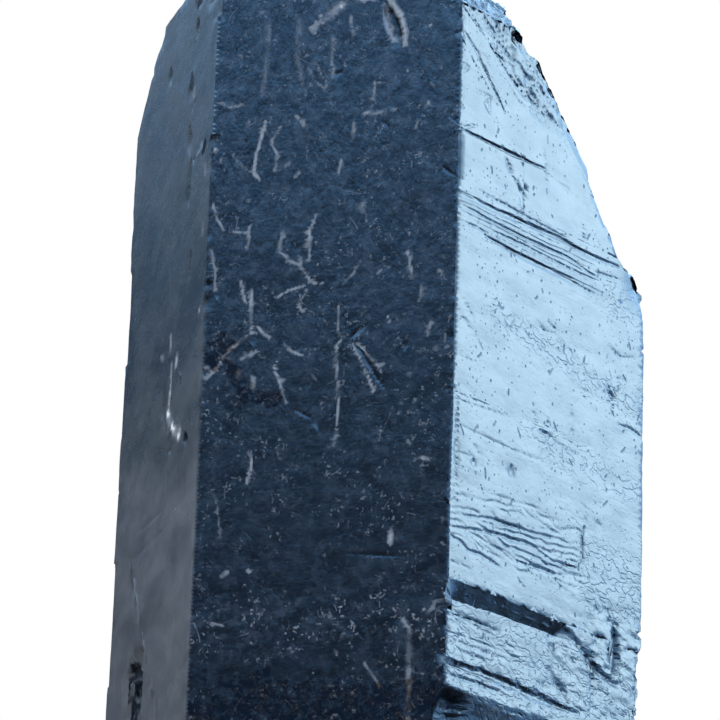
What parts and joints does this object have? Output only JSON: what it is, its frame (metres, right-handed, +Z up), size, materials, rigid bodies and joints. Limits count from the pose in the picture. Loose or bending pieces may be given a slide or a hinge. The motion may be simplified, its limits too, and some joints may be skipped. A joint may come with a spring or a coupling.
{
  "type": "tourmaline crystal",
  "caption": "Dark six-sided tourmaline crystal with striated, pitted faces and an off-centre stepped point, standing on a flat cut base.",
  "frame": {"origin": "on the surface that the crystal stands on, under the middle of its bounding box", "axes": "+Z up along the crystal's length, towards the point; -Y out of the front prism face; +X towards the bright right-hand face's side"},
  "size_m": [0.0326, 0.0278, 0.0645],
  "materials": {
    "crystal": "near-black blue mineral, opaque, glassy faces with fine striations, pits, dull scratches and dust"
  },
  "bodies": {
    "root": {"tourmaline_crystal": "crystal"}
  },
  "joints": []
}
